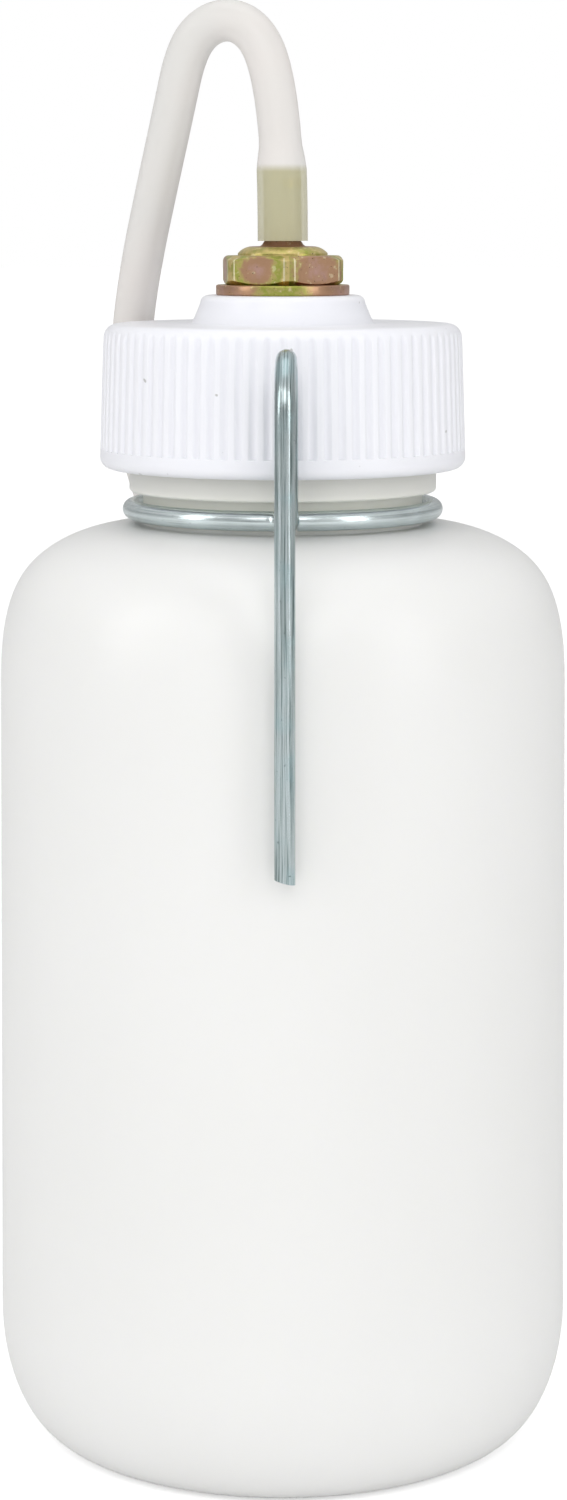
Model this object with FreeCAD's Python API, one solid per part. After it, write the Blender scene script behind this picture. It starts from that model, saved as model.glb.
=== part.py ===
import FreeCAD, Part
import math
import os

# A one-litre workshop bleed bottle: a blow-moulded polyethylene bottle with a ribbed screw cap, a zinc-plated
# hose fitting clamped in the cap, a silicone hose and a bent wire hanger round the neck.
# Millimetres. +Z is up, the origin is the centre of the base, and the hanger's hook is at the front, towards -Y.

V = FreeCAD.Vector
ORIGIN = V(0, 0, 0)
UP = V(0, 0, 1)

# --- bottle -------------------------------------------------------------------------------------------------
body_r = 46.5            # outside radius of the straight wall
body_wall = 1.3
wall_top_z = 123.5       # where the straight wall turns into the shoulder
corner_w = 11.0          # the base corner is close to a quarter ellipse, this wide
corner_h = 20.5
push_up = 3.0            # the base is domed inwards by this much
stand_w = 3.0            # width of the flat ring that the bottle stands on
shoulder_h = 25.5        # rise from the straight wall to the neck's groove
shoulder_bend = 12.3     # how far up the wall's direction carries into the shoulder
shoulder_in = 5.2        # the shoulder's poles: how far in from the wall,
shoulder_fall = 3.1      # how far below the top,
shoulder_flat = 4.5      # and how much of the flat beside the neck
neck_r = 25.3            # outside radius of the neck
neck_wall = 2.0
neck_h = 23.5            # from the groove's top to the mouth
groove_depth = 2.3       # the groove that the hanger's ring sits in
groove_h = 5.4
neck_round = 0.6         # rounding of the collar's and the mouth's outer edges

# --- thread between neck and cap ----------------------------------------------------------------------------
pitch = 4.0
thread_depth = 1.5
thread_foot = 2.0        # width of a ridge where it leaves its wall
thread_crest = 1.0
thread_gap = 0.45        # radial clearance, crest to wall
thread_play = 0.3        # axial clearance under the ridge that pulls the cap down
thread_root = 0.3        # how deep a ridge is rooted in its wall
neck_turns = 1.5
cap_turns = 1.75
neck_thread_down = 2.4   # middle of the neck's top ridge, below the mouth

# --- screw cap ----------------------------------------------------------------------------------------------
cap_wall = 2.85          # at the rim, from the thread's wall to the outside
cap_draft = 0.6          # the cap is this much narrower in radius at the top
cap_skirt = 23.7         # height of the cap without its hub
cap_top_t = 2.6
cap_edge_top = 2.2       # rounding of the top edge
cap_edge_rim = 1.8       # rounding of the rim
ribs = 80
rib_depth = 0.35
rib_cutter_r = 0.8
ribs_start = 3.2         # smooth band above the rim
rib_l = 18.7
hub_r = 14.8
hub_draft = 1.2
hub_h = 4.7
hub_edge = 1.3
hub_plate = 2.8          # thickness of the hub's plate, which is cored out from below
vent_r = 0.75            # breather hole, so that air leaves as the fluid comes in
vent_at = 20.0

# --- liner and clamped stack --------------------------------------------------------------------------------
liner_t = 1.4
liner_edge = 0.2
liner_gap = 0.3          # to the cap's thread wall
seat_gap = 0.05          # between the liner and the mouth
washer_r = 11.0
washer_t = 1.7
washer_edge = 0.3
seal_r = 9.4
seal_t = 1.2
seal_edge = 0.2
inner_washer_r = 9.4
inner_washer_t = 1.2
nut_af = 17.0
nut_h = 5.0
nut_corner_r = 9.6
nut_chamfer = 0.7
nut_turn_deg = 12.0
core_gap = 1.0           # between the nut's corners and the hub's cored wall

# --- hose fitting -------------------------------------------------------------------------------------------
shank_r = 6.0
shank_pitch = 1.5
shank_depth = 0.8
shank_tail = 1.8         # shank below the nut
shank_gap = 0.1          # radial clearance in the cap's bore and the washers
thread_fit = 0.05        # between the shank's thread and the nut's
bore_r = 1.5
hex_af = 19.0
hex_h = 4.8
hex_corner_r = 10.5      # the hexagon's corners are turned down to this radius
hex_chamfer = 1.3
hex_turn_deg = -84.0     # one corner is a little to the right of the front
dome_r = 7.4
dome_h = 1.4
dome_top_r = 4.1
cone_r = 3.9
cone_h = 1.0
cone_top_r = 3.0
barb_len = 11.6
barb_r = 3.05
barb_root_r = 2.3        # behind a ridge
barb_tip_r = 2.55        # at the small end of a ridge's taper
barbs = 3

# --- hose ---------------------------------------------------------------------------------------------------
hose_od = 7.0
hose_id = 4.0
cuff_wall = 1.03         # wall of the hose where the barb stretches it
barb_fit = 0.05          # radial clearance of the hose on the barb and in the connector
cuff_taper = 5.0
coil_r = 40.0            # middle of the coil's turns
coil_behind = 47.5       # from the bottle's wall to the coil's centre
coil_points = 14         # route points in one turn
coil_step = 7.25         # from one turn to the turn it lies on
coil_layers = 3          # turns that lie on each other
coil_slack = 0.5         # the coil's solid reaches this far past the hose

# --- connector on the hose's far end ------------------------------------------------------------------------
connector_r = 5.0
connector_l = 22.0
connector_mouth_r = 3.2  # bore that goes over the bleed screw
connector_mouth_l = 10.0
connector_socket_l = 8.0
connector_lip = 0.7

# --- wire hanger --------------------------------------------------------------------------------------------
wire_r = 1.6
ring_gap = 0.2           # radial clearance between the ring and the groove
ring_up = 2.5            # the ring's middle above the groove's floor
cap_clear = 1.2          # from the cap's side to the riser
body_clear = 1.4         # from the bottle's wall to the front leg
hook_below_cap = 2.6     # from the cap's top down to the top of the hook
leg_l = 70.7             # straight front leg
ring_bend_r = 4.0        # bend from the ring out to the riser
bend_run = 0.2           # straight wire between the two bends
riser_x = 0.8
leg_x = 0.3
ring_end_gap = 0.41      # between the ring's free end and the bend's side
leg_cut_deg = 14.0       # slant of the sheared end

# --- worked out ---------------------------------------------------------------------------------------------
groove_z = wall_top_z + shoulder_h
collar_z = groove_z + groove_h
mouth_z = collar_z + neck_h
groove_r = neck_r - groove_depth
neck_bore_r = neck_r - neck_wall
stand_r = body_r - corner_w
cap_bore_r = neck_r + thread_depth + thread_gap
cap_r = cap_bore_r + cap_wall
cap_top_r = cap_r - cap_draft
liner_z = mouth_z + seat_gap
cap_inside_z = liner_z + liner_t
cap_top_z = cap_inside_z + cap_top_t
cap_rim_z = cap_top_z - cap_skirt
hub_top_z = cap_top_z + hub_h
hub_under_z = hub_top_z - hub_plate
seal_z = hub_under_z - seal_t
inner_washer_z = seal_z - inner_washer_t
nut_z = inner_washer_z - nut_h
shank_z = nut_z - shank_tail
core_r = nut_af / math.sqrt(3) + core_gap
hex_z = hub_top_z + washer_t
dome_z = hex_z + hex_h
cone_z = dome_z + dome_h
hose_z = cone_z + cone_h
barb_top_z = hose_z + barb_len
hose_r = hose_od / 2
cuff_bore_r = barb_r + barb_fit
ring_r = groove_r + ring_gap + wire_r
ring_z = groove_z + ring_up
riser_r = cap_r + cap_clear + wire_r
leg_r = body_r + body_clear + wire_r
hook_r = (leg_r - riser_r) / 2
hook_z = cap_top_z - hook_below_cap - wire_r - hook_r
coil_y = body_r + coil_behind
coil_top_z = coil_step * (coil_layers - 1) + hose_od + coil_slack

# The hose's route. The arch is given from the hose's seat on the fitting, and the fall from the floor, with its
# second number as the distance behind the bottle's wall.
arch = [
    (0, 0, 0),
    (0, 0, 12.5),
    (-1.2, 0.6, 25.0),
    (-3.4, 1.7, 33.1),
    (-7.7, 3.7, 36.8),
    (-12.6, 6.1, 36.0),
    (-16.1, 8.0, 31.7),
    (-18.4, 10.4, 21.2),
    (-21.2, 13.9, 9.0),
    (-24.0, 18.3, -3.5),
    (-26.0, 23.4, -16.0),
    (-26.3, 29.5, -29.0),
    (-24.0, 36.7, -41.5),
]
fall = [
    (-20.0, -1.5, 142.0),
    (-16.4, 5.0, 129.5),
    (-14.8, 9.2, 115.0),
    (-15.4, 11.2, 100.0),
    (-18.2, 12.2, 85.0),
    (-22.2, 12.8, 70.0),
    (-27.0, 14.0, 55.5),
    (-31.4, 16.6, 42.5),
    (-35.2, 21.4, 31.5),
    (-38.5, 28.9, 22.9),
]

# The tail runs from the coil to the connector: across, distance past the coil's centre, height.
tail = [
    (40.3, 1.5, 3.7),
    (41.1, -9.5, 4.4),
    (42.4, -21.0, 5.0),
    (43.7, -32.5, 5.0),
]


def at(point):
    """Point (r, z) of a half section, in the XZ plane."""
    return V(point[0], 0, point[1])


def revolved(start, *steps):
    """Solid of revolution about Z. A step is a point (r, z), a pair of points for an arc through the first,
    or a list of points that are the poles of a cubic spline."""
    edges = []
    here = at(start)
    for step in steps + (start,):
        if isinstance(step, list):
            curve = Part.BSplineCurve()
            curve.buildFromPoles([here] + [at(pole) for pole in step], False, 3)
            end = at(step[-1])
        elif isinstance(step[0], tuple):
            end = at(step[1])
            curve = Part.Arc(here, at(step[0]), end)
        else:
            end = at(step)
            curve = Part.LineSegment(here, end)
        edges.append(curve.toShape())
        here = end
    return Part.Face(Part.Wire(edges)).revolve(ORIGIN, UP, 360)


def washer(outer_r, inner_r, z, height, edge):
    """Flat ring about Z with its outer edges broken."""
    return revolved(
        (inner_r, z),
        (outer_r - edge, z),
        (outer_r, z + edge),
        (outer_r, z + height - edge),
        (outer_r - edge, z + height),
        (inner_r, z + height),
    )


def rounding(r, z, radius, z_side):
    """Steps that round the corner (r, z) of a section going upwards. The material lies inwards, and towards
    z_side: 1 at a lower edge, -1 at an upper one."""
    lean = radius * (1 - math.sqrt(0.5))
    flat = (r - radius, z)
    wall = (r, z + z_side * radius)
    middle = (r - lean, z + z_side * lean)
    first, last = (flat, wall) if z_side > 0 else (wall, flat)
    return first, (middle, last)


def helical_ridge(wall_r, crest_r, middle_z, turns):
    """Ridge of trapezoid section, rooted in the wall at wall_r, that climbs from middle_z about Z."""
    root_r = wall_r - math.copysign(thread_root, crest_r - wall_r)
    half_crest = thread_crest / 2
    half_root = half_crest + (thread_foot - thread_crest) / 2 * (thread_depth + thread_root) / thread_depth
    section = [(root_r, -half_root), (crest_r, -half_crest), (crest_r, half_crest), (root_r, half_root)]
    outline = Part.makePolygon([at(point) for point in section + section[:1]])
    helix = Part.Wire(Part.makeHelix(pitch, pitch * turns, wall_r).Edges)
    ridge = helix.makePipeShell([outline], True, True)
    ridge.translate(UP * middle_z)
    return ridge


def ring_thread(crest_r):
    """Round bar as long as the shank, with its V-thread drawn as rings."""
    root_r = crest_r - shank_depth
    steps = [(root_r, shank_z)]
    for i in range(int((hex_z - shank_z) / shank_pitch)):
        ring_z = shank_z + i * shank_pitch
        steps.append((crest_r, ring_z + shank_pitch * 0.4))
        steps.append((crest_r, ring_z + shank_pitch * 0.5))
        steps.append((root_r, ring_z + shank_pitch * 0.9))
    return revolved((0, shank_z), *steps, (root_r, hex_z), (0, hex_z))


def hexagon(flats, turned_r, chamfer, z, height, turn_deg):
    """Hexagonal bar about Z, with its corners turned down and both its faces chamfered at about 30 degrees."""
    corners = []
    for i in range(7):
        angle = math.radians(turn_deg + 60 * i)
        corners.append(V(math.cos(angle), math.sin(angle), 0) * (flats / math.sqrt(3)) + UP * z)
    bar = Part.Face(Part.makePolygon(corners)).extrude(UP * height)
    drop = chamfer * 0.58
    blank = revolved(
        (0, z),
        (turned_r - chamfer, z),
        (turned_r, z + drop),
        (turned_r, z + height - drop),
        (turned_r - chamfer, z + height),
        (0, z + height),
    )
    return bar.common(blank)


def rounded(points, share=0.45):
    """Straight runs joined by tangent arcs as large as the runs allow: the edges, and each arc's radius."""
    edges = []
    radii = []
    start = points[0]
    for before, bend, after in zip(points, points[1:], points[2:]):
        back = (before - bend).normalize()
        ahead = (after - bend).normalize()
        reach = share * min((before - bend).Length, (after - bend).Length)
        radius = reach / math.tan((math.pi - back.getAngle(ahead)) / 2)
        middle = bend + (back + ahead).normalize() * (math.hypot(radius, reach) - radius)
        edges.append(Part.LineSegment(start, bend + back * reach).toShape())
        edges.append(Part.Arc(bend + back * reach, middle, bend + ahead * reach).toShape())
        radii.append(radius)
        start = bend + ahead * reach
    edges.append(Part.LineSegment(start, points[-1]).toShape())
    return edges, radii


def swept(edges, radius):
    """Round bar along tangent edges, as one solid."""
    start = edges[0].valueAt(edges[0].FirstParameter)
    along = edges[0].tangentAt(edges[0].FirstParameter)
    section = Part.Wire(Part.makeCircle(radius, start, along))
    return Part.Wire(edges).makePipeShell([section], True, False)


def bottle_section(offset):
    """Steps of the bottle's half section from its axis to the neck, moved inwards by offset."""
    wall_r = body_r - offset
    corner_pull = 0.45
    top_z = groove_z - offset
    return [
        (0, push_up + offset),
        ((stand_r / 2, push_up * 0.7 + offset), (stand_r - stand_w, offset)),
        (stand_r, offset),
        [
            (stand_r + (corner_w - offset) * (1 - corner_pull), offset),
            (wall_r, offset + (corner_h - offset) * corner_pull),
            (wall_r, corner_h),
        ],
        (wall_r, wall_top_z),
        [
            (wall_r, wall_top_z + shoulder_bend),
            (wall_r - shoulder_in, top_z - shoulder_fall),
            (neck_r + shoulder_flat, top_z),
            (neck_r - shoulder_flat * 0.3, top_z),
        ],
    ]


def make_bottle():
    """Hollow bottle with a neck groove, a collar and a helical thread on the neck."""
    outer = revolved(
        *bottle_section(0),
        (groove_r, groove_z),
        (groove_r, collar_z),
        *rounding(neck_r, collar_z, neck_round, 1),
        *rounding(neck_r, mouth_z, neck_round, -1),
        (0, mouth_z),
    )
    inner = revolved(
        *bottle_section(body_wall),
        (groove_r - body_wall, groove_z - body_wall),
        (groove_r - body_wall, collar_z),
        (neck_bore_r, collar_z + neck_wall),
        (neck_bore_r, mouth_z),
        (0, mouth_z),
    )
    low_ridge_z = mouth_z - neck_thread_down - pitch * neck_turns
    ridge = helical_ridge(neck_r, neck_r + thread_depth, low_ridge_z, neck_turns)
    return outer.cut(inner).fuse(ridge)


def rib_grooves():
    """The grooves between the cap's ribs, which follow the cap's draft."""
    low_z = cap_rim_z + ribs_start
    draft = cap_draft / cap_skirt
    axis_r = cap_r - draft * ribs_start + rib_cutter_r - rib_depth
    grooves = []
    for i in range(ribs):
        groove = Part.makeCylinder(rib_cutter_r, rib_l, V(axis_r, 0, low_z), V(-draft, 0, 1))
        groove.rotate(ORIGIN, UP, 360 / ribs * (i + 0.5))
        grooves.append(groove)
    return Part.makeCompound(grooves)


def make_cap():
    """Screw cap: ribbed skirt with an inner thread, flat top, and a hub that is cored out from below."""
    skirt = revolved(
        (0, cap_rim_z),
        *rounding(cap_r, cap_rim_z, cap_edge_rim, 1),
        *rounding(cap_top_r, cap_top_z, cap_edge_top, -1),
        (0, cap_top_z),
    )
    hub = revolved(
        (0, cap_inside_z),
        (hub_r, cap_inside_z),
        (hub_r, cap_top_z),
        *rounding(hub_r - hub_draft, hub_top_z, hub_edge, -1),
        (0, hub_top_z),
    )
    shell = skirt.fuse(hub).cut(rib_grooves())
    rim = UP * cap_rim_z
    shell = shell.cut(Part.makeCylinder(cap_bore_r, cap_inside_z - cap_rim_z, rim))
    shell = shell.cut(Part.makeCylinder(core_r, hub_under_z - cap_rim_z, rim))
    shell = shell.cut(Part.makeCylinder(shank_r + shank_gap, hub_top_z - cap_rim_z, rim))
    shell = shell.cut(Part.makeCylinder(vent_r, cap_skirt, V(0, vent_at, cap_rim_z)))
    # Both ridges narrow towards their crests, so where they overlap they are this thick together.
    both_half = (thread_foot + thread_crest) / 2 - (thread_foot - thread_crest) / 2 * thread_gap / thread_depth
    top_ridge_z = mouth_z - neck_thread_down - both_half - thread_play
    low_ridge_z = top_ridge_z - pitch * (cap_turns + 1)
    ridge = helical_ridge(cap_bore_r, neck_r + thread_gap, low_ridge_z, cap_turns)
    ridge.rotate(ORIGIN, UP, -360 * (cap_turns - neck_turns))
    return shell.fuse(ridge)


def make_liner():
    """Sealing liner in the cap's top, open in the middle, with a hole under the cap's breather hole."""
    liner = washer(cap_bore_r - liner_gap, core_r, liner_z, liner_t, liner_edge)
    return liner.cut(Part.makeCylinder(vent_r, liner_t, V(0, vent_at, liner_z)))


def make_fitting():
    """Hose fitting, turned from hexagon bar: threaded shank, hexagon, dome, cone and barb, bored through."""
    barb_step = barb_len / (barbs + 0.5)
    barb_steps = []
    for i in range(barbs):
        low_z = barb_top_z - barb_step * (barbs - i)
        barb_steps.append((barb_root_r, low_z))
        barb_steps.append((barb_r, low_z + barb_step * 0.1))
        barb_steps.append((barb_r, low_z + barb_step * 0.5))
        barb_steps.append((barb_tip_r, low_z + barb_step))
    nose = revolved(
        (0, hex_z),
        (dome_r, hex_z),
        (dome_r, dome_z),
        ((dome_r * 0.8 + dome_top_r * 0.2, dome_z + dome_h * 0.7), (dome_top_r, cone_z)),
        (cone_r, cone_z),
        (cone_top_r, hose_z),
        (barb_root_r, hose_z),
        *barb_steps,
        (0, barb_top_z),
    )
    head = hexagon(hex_af, hex_corner_r, hex_chamfer, hex_z, hex_h, hex_turn_deg)
    body = head.fuse(nose).fuse(ring_thread(shank_r))
    return body.cut(Part.makeCylinder(bore_r, barb_top_z - shank_z, UP * shank_z))


def make_nut():
    """Lock nut, threaded to match the shank."""
    nut = hexagon(nut_af, nut_corner_r, nut_chamfer, nut_z, nut_h, nut_turn_deg)
    return nut.cut(ring_thread(shank_r + thread_fit))


def hanger_line():
    """Middle of the hanger's wire: ring, bend outwards, riser, hook and front leg, as tangent edges."""
    bend_x = riser_x - ring_bend_r
    bend_y = -math.sqrt((ring_r + ring_bend_r) ** 2 - bend_x ** 2)
    bend_at = math.atan2(bend_y, bend_x)
    rim = ring_r + wire_r
    centres = ring_r + ring_bend_r
    reach = ring_bend_r + wire_r + ring_end_gap
    free_end = bend_at + math.acos((rim ** 2 + centres ** 2 - reach ** 2) / (2 * rim * centres))
    ring = Part.ArcOfCircle(Part.Circle(UP * ring_z, UP, ring_r), free_end, bend_at + 2 * math.pi)
    bend = V(bend_x, bend_y, ring_z)
    half_way = (bend_at + math.pi) / 2
    outwards = Part.Arc(
        V(ring_r * math.cos(bend_at), ring_r * math.sin(bend_at), ring_z),
        bend + V(math.cos(half_way), math.sin(half_way), 0) * ring_bend_r,
        bend + V(ring_bend_r, 0, 0),
    )
    rise_r = riser_r + bend_y - bend_run
    foot = V(riser_x, rise_r - riser_r, ring_z)
    slant = rise_r * math.sqrt(0.5)
    upwards = Part.Arc(foot, foot + V(0, -slant, rise_r - slant), foot + V(0, -rise_r, rise_r))
    riser_top = V(riser_x, -riser_r, hook_z)
    leg_top = V(leg_x, -leg_r, hook_z)
    hook_top = (riser_top + leg_top) * 0.5 + UP * ((riser_top - leg_top).Length / 2)
    curves = [
        ring,
        outwards,
        Part.LineSegment(bend + V(ring_bend_r, 0, 0), foot),
        upwards,
        Part.LineSegment(foot + V(0, -rise_r, rise_r), riser_top),
        Part.Arc(riser_top, hook_top, leg_top),
        Part.LineSegment(leg_top, leg_top - UP * leg_l),
    ]
    return [curve.toShape() for curve in curves]


def make_hanger():
    """Wire hanger with its lower end sheared at a slant."""
    side = wire_r * 4
    waste = Part.makeBox(side, side, side, V(-side / 2, -side / 2, -side))
    waste.rotate(ORIGIN, V(0, 1, 0), leg_cut_deg)
    waste.translate(V(leg_x, -leg_r, hook_z - leg_l + wire_r * math.tan(math.radians(leg_cut_deg))))
    return swept(hanger_line(), wire_r).cut(waste)


def coil_ring():
    """The space that the coiled hose fills."""
    reach = hose_r + coil_slack
    ring = washer(coil_r + reach, coil_r - reach, 0, coil_top_z, coil_slack)
    ring.translate(V(0, coil_y, 0))
    return ring


def hose_route():
    """Route of the hose from its seat on the fitting to the coil's first turn."""
    route = [V(x, y, hose_z + z) for x, y, z in arch]
    route += [V(x, body_r + behind, z) for x, behind, z in fall]
    first = math.pi / coil_points
    turn_r = coil_r / math.cos(first)
    first_z = coil_step * (coil_layers - 1) + hose_r
    route.append(V(-turn_r * math.cos(first), coil_y - turn_r * math.sin(first), first_z))
    return route


def make_hose():
    """Hose from the fitting down to the coil, with a cuff that the barb stretches. Returns it and its radii."""
    edges, radii = rounded(hose_route())
    cuff = revolved(
        (0, hose_z),
        (cuff_bore_r + cuff_wall, hose_z),
        (cuff_bore_r + cuff_wall, barb_top_z),
        (hose_r, barb_top_z + cuff_taper),
        (0, barb_top_z + cuff_taper),
    )
    tube = swept(edges, hose_r)
    length = Part.Wire(edges).Length
    print(f"hose tube {tube.Volume:.0f} mm3, section times length {math.pi * hose_r ** 2 * length:.0f} mm3")
    reach = coil_r + coil_behind
    tube = tube.cut(Part.makeBox(2 * reach, 2 * reach, coil_top_z, V(-reach, body_r, 0)))
    bore = Part.makeCylinder(cuff_bore_r, barb_len + barb_fit, UP * hose_z)
    return tube.fuse(cuff).cut(bore), radii


def tail_route():
    """Route of the hose from the coil to the connector."""
    return [V(x, coil_y + ahead, z) for x, ahead, z in tail]


def make_connector():
    """Rubber sleeve on the hose's end: a socket for the hose and a bore that goes over a bleed screw."""
    half = connector_l / 2
    sleeve = revolved(
        (0, 0),
        (connector_r - connector_lip, 0),
        (connector_r - connector_lip, half),
        (connector_r, half + connector_lip),
        (connector_r, connector_l - connector_lip),
        (connector_r - connector_lip, connector_l),
        (0, connector_l),
    )
    mouth_at = UP * (connector_l - connector_mouth_l)
    sleeve = sleeve.cut(Part.makeCylinder(hose_r + barb_fit, connector_socket_l))
    sleeve = sleeve.cut(Part.makeCylinder(hose_id / 2, connector_l))
    sleeve = sleeve.cut(Part.makeCylinder(connector_mouth_r, connector_mouth_l, mouth_at))
    *_, before, end = tail_route()
    along = (end - before).normalize()
    place = FreeCAD.Placement(end - along * connector_socket_l, FreeCAD.Rotation(UP, along))
    return sleeve.transformed(place.toMatrix())


def main():
    """Build every node and write one STEP file for each."""
    hose, radii = make_hose()
    tail_edges, tail_radii = rounded(tail_route())
    coil = coil_ring()
    nodes = {
        "bottle_body": make_bottle(),
        "screw_cap": make_cap(),
        "cap_liner": make_liner(),
        "outer_washer": washer(washer_r, shank_r + shank_gap, hub_top_z, washer_t, washer_edge),
        "hose_fitting": make_fitting(),
        "seal_washer": washer(seal_r, shank_r + shank_gap, seal_z, seal_t, seal_edge),
        "inner_washer": washer(inner_washer_r, shank_r + shank_gap, inner_washer_z, inner_washer_t, washer_edge),
        "lock_nut": make_nut(),
        "wire_hanger": make_hanger(),
        "hose": hose,
        "hose_coil": coil,
        "hose_tail": swept(tail_edges, hose_r).cut(coil),
        "bleed_connector": make_connector(),
    }
    print("hose radii", " ".join(f"{radius:.1f}" for radius in radii))
    print("tail radii", " ".join(f"{radius:.1f}" for radius in tail_radii))
    os.makedirs("parts", exist_ok=True)
    for name, shape in nodes.items():
        box = shape.BoundBox
        print(f"{name:16s} solids {len(shape.Solids)} valid {shape.isValid()} volume {shape.Volume:9.0f}"
              f"  z {box.ZMin:.2f} to {box.ZMax:.2f}")
        shape.exportStep(f"parts/{name}.step")


main()
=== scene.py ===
"""One-litre workshop bleed bottle with a ribbed screw cap, a hose fitting, a silicone hose and a wire hanger.

Every length is in metres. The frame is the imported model's own: +Z up, the origin in the middle of the base, and the
hanger's hook towards -Y.
"""

import logging
import math
from dataclasses import dataclass
from enum import Enum
from typing import Any, Callable, Iterable, Optional, Sequence

import bmesh
import bpy
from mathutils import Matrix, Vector

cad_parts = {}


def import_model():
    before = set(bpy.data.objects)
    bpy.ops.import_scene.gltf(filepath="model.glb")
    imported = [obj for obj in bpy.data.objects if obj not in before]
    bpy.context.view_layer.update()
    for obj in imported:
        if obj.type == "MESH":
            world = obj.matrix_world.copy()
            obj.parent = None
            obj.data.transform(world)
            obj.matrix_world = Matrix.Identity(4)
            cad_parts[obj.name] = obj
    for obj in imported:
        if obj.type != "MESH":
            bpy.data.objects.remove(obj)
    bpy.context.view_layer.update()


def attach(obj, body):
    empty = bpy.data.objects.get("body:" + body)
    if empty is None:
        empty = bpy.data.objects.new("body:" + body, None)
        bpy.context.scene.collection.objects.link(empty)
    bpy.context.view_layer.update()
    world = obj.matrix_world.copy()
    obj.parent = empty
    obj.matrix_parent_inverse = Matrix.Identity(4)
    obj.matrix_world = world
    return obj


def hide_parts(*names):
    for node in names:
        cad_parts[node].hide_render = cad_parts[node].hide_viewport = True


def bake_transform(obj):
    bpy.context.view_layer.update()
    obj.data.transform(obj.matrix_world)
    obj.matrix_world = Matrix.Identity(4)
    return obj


log = logging.getLogger("bleed_bottle")
MM = 0.001
TURN = 2 * math.pi

Colour = tuple[float, float, float]
Point = tuple[float, float]
Section = list[Point]


# --- node trees ---------------------------------------------------------------------------------------------


class Value:
    """A number socket of a node tree that takes part in Python expressions."""

    def __init__(self, bench: "Bench", socket: bpy.types.NodeSocket) -> None:
        """Wrap a socket.

        Args:
            bench: The tree that the socket is in.
            socket: The output socket that holds the number.
        """
        self.bench = bench
        self.socket = socket

    def _math(self, operation: str, *terms: Any) -> "Value":
        """Add one Math node.

        Args:
            operation: The node's operation.
            *terms: Its inputs, in order.

        Returns:
            The node's result.
        """
        return self.bench.math(operation, *terms)

    def __add__(self, other: Any) -> "Value":
        """Sum."""
        return self._math("ADD", self, other)

    def __radd__(self, other: Any) -> "Value":
        """Sum, with the number first."""
        return self._math("ADD", other, self)

    def __sub__(self, other: Any) -> "Value":
        """Difference."""
        return self._math("SUBTRACT", self, other)

    def __rsub__(self, other: Any) -> "Value":
        """Difference, with the number first."""
        return self._math("SUBTRACT", other, self)

    def __mul__(self, other: Any) -> "Value":
        """Product."""
        return self._math("MULTIPLY", self, other)

    def __rmul__(self, other: Any) -> "Value":
        """Product, with the number first."""
        return self._math("MULTIPLY", other, self)

    def __truediv__(self, other: Any) -> "Value":
        """Quotient."""
        return self._math("DIVIDE", self, other)

    def __rtruediv__(self, other: Any) -> "Value":
        """Quotient, with the number first."""
        return self._math("DIVIDE", other, self)

    def __pow__(self, other: Any) -> "Value":
        """Power."""
        return self._math("POWER", self, other)

    def __abs__(self) -> "Value":
        """Size without its sign."""
        return self._math("ABSOLUTE", self)

    def over(self, limit: Any) -> "Value":
        """1 where the value is over the limit, else 0."""
        return self._math("GREATER_THAN", self, limit)

    def between(self, low: float, high: float) -> "Value":
        """Smooth rise from 0 at low to 1 at high."""
        node = self.bench.node(
            "ShaderNodeMapRange",
            {"interpolation_type": "SMOOTHSTEP"},
            {"Value": self, "From Min": low, "From Max": high, "To Min": 0.0, "To Max": 1.0},
        )
        return Value(self.bench, node.outputs[0])


class Bench:
    """A node tree under construction."""

    def __init__(self, tree: bpy.types.NodeTree) -> None:
        """Start with a tree.

        Args:
            tree: The tree that takes the nodes.
        """
        self.tree = tree

    def node(
        self, kind: str, settings: Optional[dict[str, Any]] = None, inputs: Optional[dict[Any, Any]] = None
    ) -> bpy.types.Node:
        """Add any node.

        Args:
            kind: The node's type.
            settings: Its own properties, set first; "stops" are the stops of a colour ramp.
            inputs: Values or links of its sockets, by identifier, name or place.

        Returns:
            The new node.
        """
        node = self.tree.nodes.new(kind)
        for name, value in (settings or {}).items():
            if name == "stops":
                ramp = node.color_ramp
                while len(ramp.elements) < len(value):
                    ramp.elements.new(1.0)
                for element, (place, colour) in zip(ramp.elements, value):
                    element.position = place
                    element.color = (*colour, 1.0)
            else:
                setattr(node, name, value)
        for key, value in (inputs or {}).items():
            socket = self._socket(node, key)
            source = value.socket if isinstance(value, Value) else value
            if isinstance(source, bpy.types.NodeSocket):
                self.tree.links.new(source, socket)
            elif socket.type == "RGBA" and len(source) == 3:
                socket.default_value = (*source, 1.0)
            else:
                socket.default_value = source
        return node

    @staticmethod
    def _socket(node: bpy.types.Node, key: Any) -> bpy.types.NodeSocket:
        """Find an input socket by place, identifier or name."""
        if isinstance(key, int):
            return node.inputs[key]
        for socket in node.inputs:
            if socket.identifier == key:
                return socket
        return next(socket for socket in node.inputs if socket.name == key and socket.enabled)

    def math(self, operation: str, *terms: Any) -> Value:
        """Add a Math node and give its result."""
        node = self.node("ShaderNodeMath", {"operation": operation}, dict(enumerate(terms)))
        return Value(self, node.outputs[0])


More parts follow.
